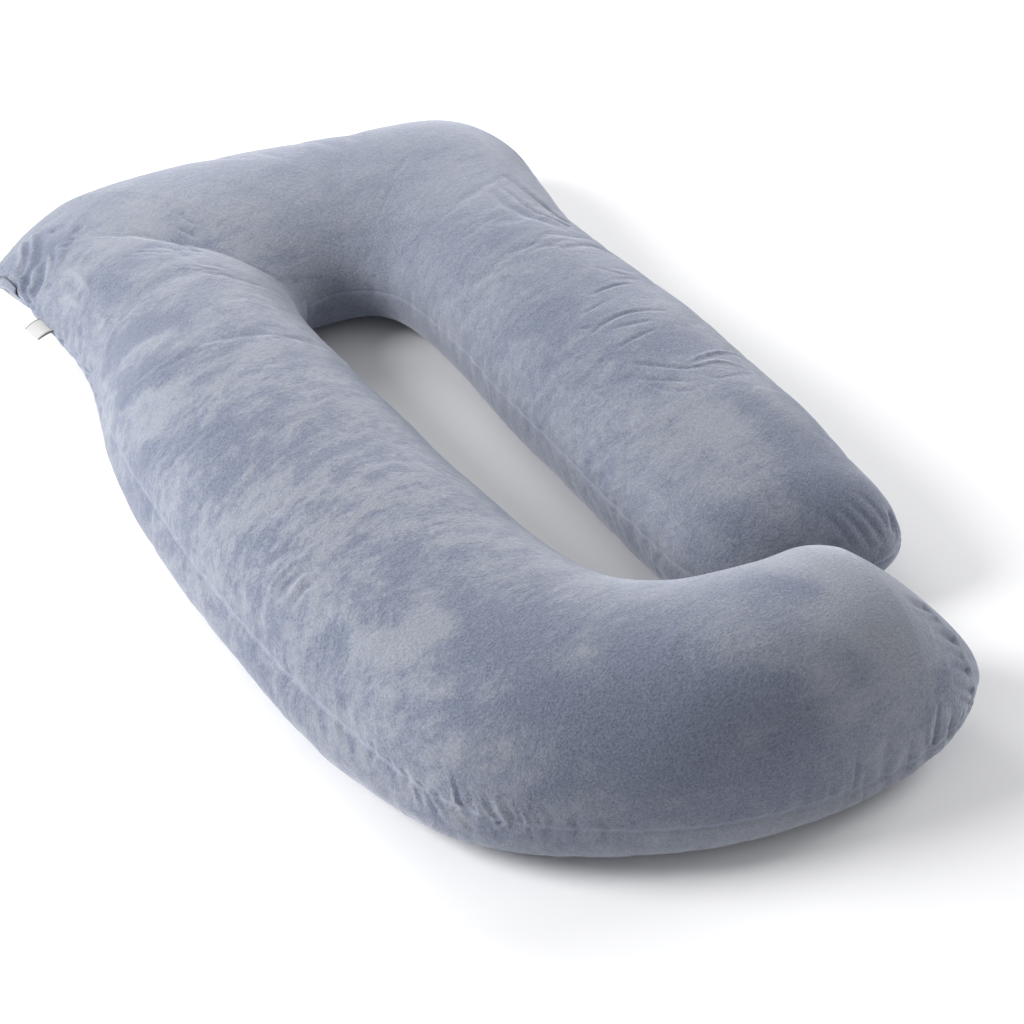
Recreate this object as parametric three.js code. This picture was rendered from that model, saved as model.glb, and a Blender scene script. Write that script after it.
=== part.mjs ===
// Pregnancy pillow: one filled cushion bent into a hook, sewn from a top and a bottom panel.
// A broad head end joins a short straight arm to a long arm, which curls across the foot and ends in
// a big round tip beside the short arm's end. Millimetres, +Z up.
// +Y runs from the curled foot to the head, +X from the long arm to the short arm, and the origin
// lies under the middle of the outline, on the surface that the pillow rests on.
import * as THREE from 'three';

// Driving dimensions
const RUNGS = 150; // sections along the cushion between its two round ends
const CAP_RUNGS = 7; // sections inside each round end
const RING = 28; // points round a section, a multiple of four
// How far each round end tapers, and how full it is in plan and in height: 2 is round, more squarer
const SHORT_END = { length: 99, plan: 3.3, height: 2.1 };
const CURL_END = { length: 180, plan: 2.6, height: 1.65 };
const INNER_FULLNESS = { over: 2.15, under: 2.7 }; // the inner side, above and below its seam
const BASE_PRESS = 9; // how far the filling's weight flattens the underside
const SEAM_DRAW = 7; // how far the seam is drawn in between the two panels
const SEAM_BAND = 0.3; // share of the ring's quarter that the drawn-in band takes
const FOLD_FADE = 1.5; // how fast a fold runs out: more is faster
// Small gathers along the seams: their depth and pitch, how far and over what distance the pitch
// wanders, how uneven the depth is, the angle they reach and their share on the inner seam
const GATHER = {
  depth: 3.2, pitch: 122, wander: 1.7, sway: 420, uneven: 0.8, unevenSway: 155, reach: 68, inner: 0.55,
};

// The folded label sewn into the seam, and the short lip under the head end's near corner
const LABEL = { place: 14.18, along: 30, out: 22, thick: 1.8, droop: 7, offSeam: 0.5 };
const LIP = { from: 12.6, to: 13.45, top: 0.15, bottom: 0.8, thick: 2.6, gap: 0.95 };

const CLOTH_BLUE = { color: 0x8d98ab, roughness: 0.88, metalness: 0 };
const LABEL_WHITE = { color: 0xf2f1ee, roughness: 0.7, metalness: 0 };

// Sections, from the short arm's end round the head to the curled tip: where the outer and the inner
// seam run, how high each lies, how high the crown is, how full the outer side is above the seam and
// below it, and how far the wall under the outer seam swells past it.
const SEAM_COLUMNS = ['outerX', 'outerY', 'outerZ', 'innerX', 'innerY', 'innerZ'];
const SECTION_COLUMNS = [...SEAM_COLUMNS, 'crown', 'full', 'wall', 'swell'];
const SECTIONS = namedRows(SECTION_COLUMNS, [
  [370, -424, 60, 109, -400, 70, 148, 2.0, 2.2, 0], // the short arm's end
  [367, -319, 66, 87, -309, 82, 162, 2.0, 2.4, 0],
  [368, -185, 74, 78, -175, 87, 181, 2.05, 2.6, 0],
  [365, -41, 78, 76, -41, 87, 183, 2.1, 2.6, 0],
  [360, 124, 78, 76, 93, 87, 182, 2.1, 2.6, 0], // short arm
  [348, 256, 78, 78, 196, 87, 180, 2.0, 2.5, 0],
  [346, 355, 76, 79, 273, 82, 178, 1.95, 2.4, 0], // waist beside the head end
  [366, 474, 74, 72, 332, 80, 176, 1.95, 2.3, 0],
  [382, 606, 72, 58, 363, 78, 175, 1.9, 2.2, 0],
  [344, 714, 72, 37, 381, 78, 175, 1.95, 2.2, 0], // far corner of the head end
  [175, 740, 76, 14, 389, 78, 170, 2.05, 2.4, 0],
  [-62, 755, 76, -14, 389, 78, 176, 2.0, 2.4, 0], // back edge
  [-278, 737, 76, -39, 381, 78, 181, 1.85, 2.0, 0],
  [-390, 652, 76, -60, 363, 78, 173, 1.45, 1.3, 0], // near corner
  [-369, 515, 80, -74, 328, 80, 183, 1.9, 1.3, 0],
  [-360, 360, 84, -80, 266, 84, 190, 2.0, 1.75, 2], // near waist
  [-384, 196, 91, -78, 154, 89, 196, 2.15, 3.0, 9],
  [-392, 21, 91, -72, 10, 89, 200, 2.2, 3.2, 14], // long arm
  [-387, -185, 89, -64, -134, 89, 202, 2.2, 3.2, 10],
  [-364, -381, 79, -49, -276, 89, 206, 2.2, 3.1, 14],
  [-303, -563, 64, -21, -377, 89, 210, 2.3, 2.75, 7], // bend into the foot
  [-157, -668, 47, 27, -422, 87, 214, 2.4, 2.5, 1],
  [21, -703, 41, 91, -441, 84, 216, 2.4, 2.3, 0], // front of the curl
  [181, -688, 43, 171, -447, 82, 209, 2.3, 2.3, 0],
  [316, -659, 58, 285, -490, 74, 161, 2.2, 1.9, 0], // the curl's tip
]);

// Main folds: the section they start from, on which seam, how deep and wide they are, and how far
// they run, as an angle round the section from the seam over the top and under it.
const FOLD_COLUMNS = ['place', 'side', 'depth', 'width', 'over', 'under'];
const FOLDS = namedRows(FOLD_COLUMNS, [
  [5.6, 'outer', 9, 27, 62, 30],
  [6.0, 'outer', 14, 25, 78, 40],
  [6.35, 'outer', 11, 25, 66, 34],
  [6.75, 'outer', 7, 27, 50, 26],
  [9.05, 'outer', 10, 27, 40, 36],
  [12.55, 'outer', 9, 31, 48, 30],
  [12.85, 'outer', 11, 27, 56, 34],
  [13.15, 'outer', 10, 27, 52, 34],
  [14.6, 'outer', 7, 31, 40, 40],
  [15.0, 'outer', 10, 31, 44, 50],
  [20.3, 'outer', 7, 35, 34, 30],
  [21.2, 'outer', 6, 35, 36, 26],
  [23.4, 'outer', 7, 31, 40, 30],
  [23.9, 'outer', 8, 31, 42, 30],
  [10.5, 'inner', 9, 31, 50, 50],
  [8.6, 'inner', 8, 25, 50, 50],
  [12.4, 'inner', 8, 25, 50, 50],
]);
const LAST = SECTIONS.length - 1;

// Each row of a table becomes an object whose fields have the columns' names.
function namedRows(columns, rows) {
  return rows.map((row) => Object.fromEntries(columns.map((name, index) => [name, row[index]])));
}

function columnCurve(columns) {
  const points = SECTIONS.map((row) => new THREE.Vector3(...columns.map((name) => row[name])));
  return new THREE.CatmullRomCurve3(points, false, 'centripetal');
}

const OUTER_SEAM = columnCurve(SEAM_COLUMNS.slice(0, 3));
const INNER_SEAM = columnCurve(SEAM_COLUMNS.slice(3));

function columnAt(column, place) {
  const first = Math.min(Math.floor(place), LAST - 1);
  return THREE.MathUtils.lerp(SECTIONS[first][column], SECTIONS[first + 1][column], place - first);
}

// Distance along the cushion from the short arm's end, at evenly spaced places, measured between its
// two seams and nearer the outer one.
const TRAVEL_STEPS = 1200;
const OUTER_WEIGHT = 0.7;
const TRAVEL = [0];
for (let step = 1; step <= TRAVEL_STEPS; step += 1) {
  const before = (step - 1) / TRAVEL_STEPS;
  const now = step / TRAVEL_STEPS;
  const outer = OUTER_SEAM.getPoint(now).distanceTo(OUTER_SEAM.getPoint(before));
  const inner = INNER_SEAM.getPoint(now).distanceTo(INNER_SEAM.getPoint(before));
  TRAVEL.push(TRAVEL[step - 1] + OUTER_WEIGHT * outer + (1 - OUTER_WEIGHT) * inner);
}
const FULL_TRAVEL = TRAVEL[TRAVEL_STEPS];

function placeAt(travel) {
  let step = 1;
  while (step < TRAVEL_STEPS && TRAVEL[step] < travel) step += 1;
  const part = (travel - TRAVEL[step - 1]) / (TRAVEL[step] - TRAVEL[step - 1]);
  return (LAST * (step - 1 + part)) / TRAVEL_STEPS;
}

function travelAt(place) {
  return TRAVEL[Math.round((place / LAST) * TRAVEL_STEPS)];
}

function signedPower(value, power) {
  return Math.sign(value) * Math.abs(value) ** power;
}

// How wide or high a round end is, as a share of the full section, at a distance from its tip.
function endShare(distance, length, fullness) {
  if (distance >= length) return 1;
  return (1 - (1 - distance / length) ** fullness) ** (1 / fullness);
}

// The share on the whole cushion: below 1 in the two ends alone. The measure is plan or height.
function sizeShare(travel, measure) {
  const short = endShare(travel, SHORT_END.length, SHORT_END[measure]);
  const curl = endShare(FULL_TRAVEL - travel, CURL_END.length, CURL_END[measure]);
  return Math.min(short, curl);
}

// How far the folds and the small gathers draw the cloth in, at an angle round the section.
function foldDepth(travel, angle) {
  const onOuter = Math.cos(angle) >= 0;
  const fromSeam = THREE.MathUtils.radToDeg(Math.asin(Math.min(1, Math.abs(Math.sin(angle)))));
  const over = Math.sin(angle) >= 0;
  let depth = 0;
  for (const fold of FOLDS) {
    const reach = over ? fold.over : fold.under;
    if ((fold.side === 'outer') !== onOuter || fromSeam >= reach) continue;
    const aside = (travel - travelAt(fold.place)) / fold.width;
    const fade = Math.cos((Math.PI / 2) * (fromSeam / reach)) ** FOLD_FADE;
    depth += fold.depth * Math.exp(-aside * aside) * fade;
  }
  const phase = (2 * Math.PI * travel) / GATHER.pitch + GATHER.wander * Math.sin(travel / GATHER.sway);
  const strength = 1 - GATHER.uneven * (0.5 - 0.5 * Math.sin(travel / GATHER.unevenSway));
  const near = Math.max(0, 1 - fromSeam / GATHER.reach) ** 2;
  return depth + GATHER.depth * Math.sin(phase) * strength * near * (onOuter ? 1 : GATHER.inner);
}

// A point of the cover: angle 0 is the outer seam, a quarter turn the crown, a half turn the inner
// seam and three quarters the underside. Above and below the seams the section is a superellipse,
// whose underside is pressed flat where it would pass through the floor.
function coverPoint(travel, angle) {
  const place = placeAt(travel);
  const outer = OUTER_SEAM.getPoint(place / LAST);
  const inner = INNER_SEAM.getPoint(place / LAST);
  const width = sizeShare(travel, 'plan');
  const sine = Math.sin(angle);
  const cosine = Math.cos(angle);
  const over = sine >= 0;
  const onOuter = cosine > 0;
  const outerFullness = columnAt(over ? 'full' : 'wall', place);
  const fullness = onOuter ? outerFullness : INNER_FULLNESS[over ? 'over' : 'under'];
  const across = signedPower(cosine, 2 / fullness) * width;
  const middle = outer.clone().add(inner).multiplyScalar(0.5);
  const half = outer.clone().sub(inner).multiplyScalar(0.5);
  const seamZ = middle.z + half.z * across;
  const rise = Math.abs(sine) ** (2 / fullness) * sizeShare(travel, 'height');
  const crown = columnAt('crown', place);
  const offSeam = Math.min(1, Math.abs(sine) / SEAM_BAND);
  const halfWidth = Math.hypot(half.x, half.y);
  const bulge = 4 * rise * (1 - rise); // 1 halfway down the wall, 0 at the seam and at the floor
  const swell = onOuter && !over ? columnAt('swell', place) * bulge : 0;
  const drawnIn = (SEAM_DRAW * (1 - offSeam) ** 2 + foldDepth(travel, angle) - swell) * width;
  const slope = Math.atan2(rise * (crown - seamZ), Math.max(1, Math.abs(across) * halfWidth));
  const share = across - (Math.sign(cosine) * drawnIn * Math.cos(slope)) / halfWidth;
  const point = middle.addScaledVector(half, share);
  const drop = drawnIn * Math.sin(slope);
  const height = over ? rise * (crown - seamZ) - drop : drop - rise * (seamZ + BASE_PRESS);
  return point.setZ(Math.max(0, seamZ + height));
}

// Where the sections stand: evenly along the cushion, and closer and closer towards its two tips.
function travelStops() {
  const capSteps = Array.from({ length: CAP_RUNGS }, (_, index) => (index + 1) / CAP_RUNGS);
  const easedIn = capSteps.map((step) => 1 - Math.cos((Math.PI / 2) * step));
  const from = SHORT_END.length;
  const to = FULL_TRAVEL - CURL_END.length;
  const stops = easedIn.map((share) => from * share);
  for (let step = 1; step < RUNGS; step += 1) stops.push(from + ((to - from) * step) / RUNGS);
  return [...stops, ...easedIn.reverse().map((share) => FULL_TRAVEL - CURL_END.length * share)];
}

// Rings of points joined by triangles, each end closed on a single point.
function ringedSolid(rings, firstTip, lastTip) {
  const count = rings[0].length;
  const points = [firstTip, ...rings.flat(), lastTip];
  const lastIndex = points.length - 1;
  const at = (ring, step) => 1 + ring * count + (step % count);
  const faces = [];
  for (let step = 0; step < count; step += 1) {
    faces.push(0, at(0, step), at(0, step + 1));
    faces.push(lastIndex, at(rings.length - 1, step + 1), at(rings.length - 1, step));
  }
  for (let ring = 0; ring < rings.length - 1; ring += 1) {
    for (let step = 0; step < count; step += 1) {
      faces.push(at(ring, step), at(ring + 1, step), at(ring + 1, step + 1));
      faces.push(at(ring, step), at(ring + 1, step + 1), at(ring, step + 1));
    }
  }
  const geometry = new THREE.BufferGeometry();
  const numbers = points.flatMap((point) => point.toArray());
  geometry.setAttribute('position', new THREE.Float32BufferAttribute(numbers, 3));
  geometry.setIndex(faces);
  geometry.computeVertexNormals();
  return geometry;
}

function coverRing(travel) {
  const ring = [];
  for (let step = 0; step < RING; step += 1) ring.push(coverPoint(travel, (2 * Math.PI * step) / RING));
  return ring;
}

// A thin strip laid outside the first row of faces under the outer seam, between two sections.
function lipGeometry(rings, stops) {
  const sections = [];
  rings.forEach((ring, index) => {
    const place = placeAt(stops[index]);
    if (place < LIP.from || place > LIP.to) return;
    const upper = ring[RING - 1];
    const down = ring[RING - 2].clone().sub(upper);
    const along = rings[index + 1][RING - 1].clone().sub(rings[index - 1][RING - 1]);
    const outward = down.clone().cross(along).normalize();
    const corner = (share, off) => upper.clone().addScaledVector(down, share).addScaledVector(outward, off);
    const inner = [corner(LIP.top, LIP.gap), corner(LIP.bottom, LIP.gap)];
    const reach = LIP.gap + LIP.thick;
    sections.push([...inner, corner(LIP.bottom, reach), corner(LIP.top, reach)]);
  });
  const middle = (ring) => ring.reduce((sum, point) => sum.add(point), new THREE.Vector3()).divideScalar(4);
  return ringedSolid(sections, middle(sections[0]), middle(sections[sections.length - 1]));
}

// The label's side view, a folded strip that leaves the seam level and droops to its round fold, is
// carried along the seam for the label's width.
function labelMesh() {
  const travel = travelAt(LABEL.place);
  const half = LABEL.along / 2;
  const along = coverPoint(travel + half, 0).sub(coverPoint(travel - half, 0)).setZ(0).normalize();
  const upward = new THREE.Vector3(0, 0, 1);
  const outward = along.clone().cross(upward);
  const side = (share, lift) => new THREE.Vector2(
    THREE.MathUtils.lerp(LABEL.offSeam, LABEL.out, share),
    lift - LABEL.droop * share * share,
  );
  const shares = [0, 0.2, 0.4, 0.6, 0.8, 1];
  const top = shares.map((share) => side(share, LABEL.thick / 2));
  const bottom = shares.map((share) => side(share, -LABEL.thick / 2)).reverse();
  const fold = new THREE.Vector2(LABEL.out + LABEL.thick / 2, -LABEL.droop);
  const outline = new THREE.Shape([...top, fold, ...bottom]);
  const geometry = new THREE.ExtrudeGeometry(outline, { depth: LABEL.along, bevelEnabled: false });
  geometry.translate(0, 0, -half);
  const mesh = namedMesh('side_label', geometry, LABEL_WHITE);
  const sideways = outward.clone().cross(upward);
  mesh.quaternion.setFromRotationMatrix(new THREE.Matrix4().makeBasis(outward, upward, sideways));
  mesh.position.copy(coverPoint(travel, 0));
  return mesh;
}

function namedMesh(name, geometry, finish) {
  const mesh = new THREE.Mesh(geometry, new THREE.MeshStandardMaterial(finish));
  mesh.name = name;
  return mesh;
}

const pillow = new THREE.Group();
const stops = travelStops();
const rings = stops.map(coverRing);
const cover = ringedSolid(rings, coverPoint(0, 0), coverPoint(FULL_TRAVEL, 0));
pillow.add(namedMesh('filled_cover', cover, CLOTH_BLUE));
pillow.add(namedMesh('corner_lip', lipGeometry(rings, stops), CLOTH_BLUE));
pillow.add(labelMesh());

const centre = new THREE.Box3().setFromObject(pillow).getCenter(new THREE.Vector3());
pillow.position.set(-centre.x, -centre.y, 0);

export default pillow;
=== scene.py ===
import math

import bpy
import numpy as np
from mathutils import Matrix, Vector


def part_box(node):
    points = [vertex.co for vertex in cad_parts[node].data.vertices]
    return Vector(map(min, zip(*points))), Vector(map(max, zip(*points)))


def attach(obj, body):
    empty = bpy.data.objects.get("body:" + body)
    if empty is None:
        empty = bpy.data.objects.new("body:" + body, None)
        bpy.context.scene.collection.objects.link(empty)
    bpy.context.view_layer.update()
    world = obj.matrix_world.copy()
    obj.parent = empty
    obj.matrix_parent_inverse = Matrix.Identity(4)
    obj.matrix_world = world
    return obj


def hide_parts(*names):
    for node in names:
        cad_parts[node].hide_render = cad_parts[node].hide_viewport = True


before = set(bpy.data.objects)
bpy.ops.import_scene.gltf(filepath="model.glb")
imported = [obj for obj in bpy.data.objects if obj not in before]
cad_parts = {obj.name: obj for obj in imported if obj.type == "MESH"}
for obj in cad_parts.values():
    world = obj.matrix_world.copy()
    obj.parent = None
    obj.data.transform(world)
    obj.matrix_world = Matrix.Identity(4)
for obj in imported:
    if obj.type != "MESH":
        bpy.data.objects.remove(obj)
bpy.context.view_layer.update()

# The cushion's grid: rings along it, and columns over its top panel and under it. The filling is
# worked out on a coarser grid, one ring and one column in COARSE.
COARSE = 3
RINGS = 1561
TOP_COLUMNS = 126
UNDER_COLUMNS = 90
CROWDING = 0.45  # how much closer together the columns stand near the seams

# How far each round end tapers, and how full it is in plan and in height
SHORT_END = {"length": 0.099, "plan": 3.3, "height": 2.1}
CURL_END = {"length": 0.180, "plan": 2.7, "height": 1.75}
INNER_OVER = 2.15  # fullness of the inner side above its seam
INNER_UNDER = 2.7
BASE_PRESS = 0.009  # how far the filling's weight flattens the underside
SEAM_DRAW = 0.001  # how far the seam is drawn in between the two panels
SEAM_BAND = 0.9  # the share of a panel's rise over which that fades
OUTER_WEIGHT = 0.7  # the outer seam's share in the distance along the cushion
CROWN_SPREAD = 9  # columns on each side that round the crown off
CROWN_EDGE = 2.2  # how steeply that sets in away from the seams
CROWN_ROUNDED = ((6, 0), (8, 1), (16, 1), (18, 0))  # how much of it, at sections
RING_MIX = (0.5, 0.25, 0.25)  # shares of outer seam, crown and inner seam in the rings' spacing
FINE_STEPS = 300  # steps that lengths round a section are measured with, and 20 times as many along

# The tables give lengths in millimetres, and the rest of the script is in metres.
MILLIMETRES = 1000

# Sections, in order along the cushion: where the outer and the inner seam run, how high the crown is,
# how full the outer side is above its seam and below it, and how far the wall under it swells.
SECTION_COLUMNS = (
    "outer_x", "outer_y", "outer_z", "inner_x", "inner_y", "inner_z", "crown", "full", "wall", "swell",
)
FULLNESSES = ("full", "wall")
SECTIONS = np.array([
    (370, -424, 60, 109, -400, 70, 148, 2.00, 2.20, 0),  # the short arm's end
    (367, -319, 66, 87, -309, 82, 162, 2.00, 2.40, 0),
    (368, -185, 74, 78, -175, 87, 181, 2.05, 2.60, 0),
    (365, -41, 78, 76, -41, 87, 183, 2.10, 2.60, 0),
    (360, 124, 78, 76, 93, 87, 182, 2.10, 2.60, 0),  # short arm
    (348, 256, 78, 78, 196, 87, 180, 2.00, 2.50, 0),
    (346, 355, 76, 79, 273, 82, 178, 1.95, 2.40, 0),  # waist beside the head end
    (366, 474, 74, 72, 332, 80, 176, 1.95, 2.30, 0),
    (382, 606, 72, 58, 363, 78, 178, 1.90, 2.20, 0),
    (344, 714, 72, 37, 381, 78, 175, 1.95, 2.20, 0),  # far corner of the head end
    (175, 740, 76, 14, 389, 78, 173, 2.05, 2.40, 0),
    (-62, 755, 76, -14, 389, 78, 181, 2.00, 2.40, 0),  # back edge
    (-278, 737, 76, -39, 381, 78, 186, 1.85, 2.00, 0),
    (-383, 645, 76, -60, 363, 78, 173, 1.45, 1.30, 0),  # near corner
    (-369, 515, 80, -74, 328, 80, 183, 1.90, 1.30, 0),
    (-360, 360, 84, -80, 266, 84, 190, 2.00, 1.75, 2),  # near waist
    (-384, 196, 91, -78, 154, 89, 196, 2.15, 3.00, 9),
    (-392, 21, 91, -72, 10, 89, 200, 2.20, 3.20, 14),  # long arm
    (-387, -185, 89, -64, -134, 89, 202, 2.20, 3.20, 12),
    (-364, -381, 88, -49, -276, 89, 206, 2.20, 3.10, 18),
    (-303, -563, 76, -21, -377, 89, 210, 2.30, 2.75, 7),  # bend into the foot end
    (-157, -668, 65, 27, -420, 87, 215, 2.40, 2.50, 4),
    (21, -703, 50, 91, -434, 84, 221, 2.40, 2.35, 7),  # front of the curl
    (181, -690, 44, 171, -437, 82, 220, 2.30, 2.30, 3),
    (305, -674, 58, 273, -494, 74, 178, 2.20, 1.90, 0),  # the curl's tip
])
SECTIONS[:, [name not in FULLNESSES for name in SECTION_COLUMNS]] /= MILLIMETRES
LAST = len(SECTIONS) - 1

# Where small gathers are sewn into a seam: the sections they run between, the seam, the pitch, how
# deep they are and how far they reach over the top and under it.
GATHER_COLUMNS = ("first", "last", "side", "pitch", "depth", "over", "under")
GATHERS = [
    (0.2, 2.0, "outer", 30, 1.6, 60, 30),
    (2.0, 5.2, "outer", 50, 1, 50, 25),
    (6.8, 8.8, "outer", 40, 1.2, 50, 30),
    (8.8, 12.2, "outer", 45, 1.2, 50, 30),
    (12.4, 13.6, "outer", 20, 2.2, 70, 40),
    (13.8, 15.6, "outer", 22, 1.8, 40, 40),
    (15.6, 19.4, "outer", 45, 0.8, 40, 40),
    (19.4, 20.4, "outer", 24, 1.6, 35, 60),
    (20.4, 21.6, "outer", 21, 1.1, 45, 50),
    (21.6, 22.6, "outer", 28, 1.2, 35, 30),
    (22.6, 23.9, "outer", 30, 2, 70, 25),
    (0.2, 5.0, "inner", 40, 1.6, 60, 50),
    (5.0, 17.0, "inner", 30, 1.6, 50, 50),
    (17.0, 23.8, "inner", 34, 2, 60, 60),
]

# Camera: azimuth from the foot end towards the long arm's side, elevation, distance and lens
VIEW = {"azimuth": -28.0, "elevation": 36.0, "distance": 2.9458, "lens": 85.4, "sensor": 36.0}
VIEW_TARGET = (0.0273, -0.0533, 0.0)  # in the sections' own frame
FRAME_SIDE = 1024

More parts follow.
